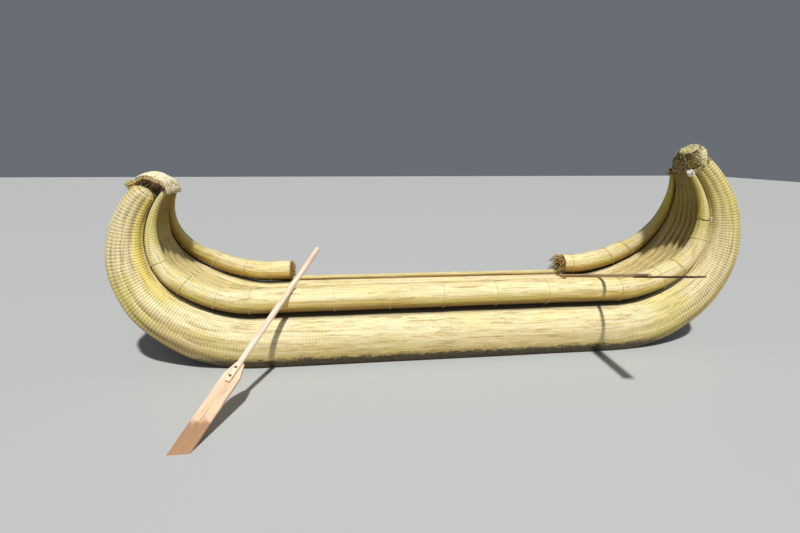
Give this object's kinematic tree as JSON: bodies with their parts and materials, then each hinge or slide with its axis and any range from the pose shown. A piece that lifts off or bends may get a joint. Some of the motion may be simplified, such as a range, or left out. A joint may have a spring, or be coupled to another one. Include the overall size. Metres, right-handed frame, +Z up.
{
  "type": "reed boat",
  "caption": "Reed boat of bound totora rolls: twin hull rolls and lashed gunwale rolls that sweep up to a bound stern and a brush-topped bow, with two wooden oars.",
  "frame": {"origin": "on the ground under the middle of the boat, midway between the two hull rolls", "axes": "+X to the bow, +Y to port, +Z up"},
  "size_m": [6.6079, 2.85, 2.2725],
  "materials": {
    "hull_reed": "matte",
    "gunwale_reed": "matte",
    "floor_reed": "matte",
    "cord": "matte",
    "cut_reed_ends": "matte",
    "straw_mat": "matte",
    "white_wrap": "matte",
    "bolt_steel": "matte",
    "long_oar_wood": "matte",
    "short_oar_wood": "matte"
  },
  "bodies": {
    "boat": {"boarding_sill": "gunwale_reed", "bow_brush": "cut_reed_ends", "bow_knot_port": "white_wrap", "bow_knot_starboard": "white_wrap", "floor_roll_1": "floor_reed", "floor_roll_2": "floor_reed", "floor_roll_3": "floor_reed", "floor_roll_4": "floor_reed", "floor_roll_5": "floor_reed", "gunwale_lashings_port": "cord", "gunwale_lashings_starboard": "cord", "gunwale_roll_port_bow": "gunwale_reed", "gunwale_roll_port_stern": "gunwale_reed", "gunwale_roll_starboard": "gunwale_reed", "heart_roll": "floor_reed", "hull_roll_port": "hull_reed", "hull_roll_starboard": "hull_reed", "stern_knot": "straw_mat", "stern_wrap": "straw_mat"},
    "long_oar": {"long_oar_blade": "long_oar_wood", "long_oar_bolts": "bolt_steel", "long_oar_shaft": "long_oar_wood"},
    "short_oar": {"short_oar_blade": "short_oar_wood", "short_oar_shaft": "short_oar_wood"}
  },
  "joints": [
    {"name": "long_oar_lift", "type": "slide", "parent": "boat", "child": "long_oar", "axis": [0, 0, 1], "range_m": [0, 0.4]},
    {"name": "short_oar_lift", "type": "slide", "parent": "boat", "child": "short_oar", "axis": [0, 0, 1], "range_m": [0, 0.4]}
  ]
}
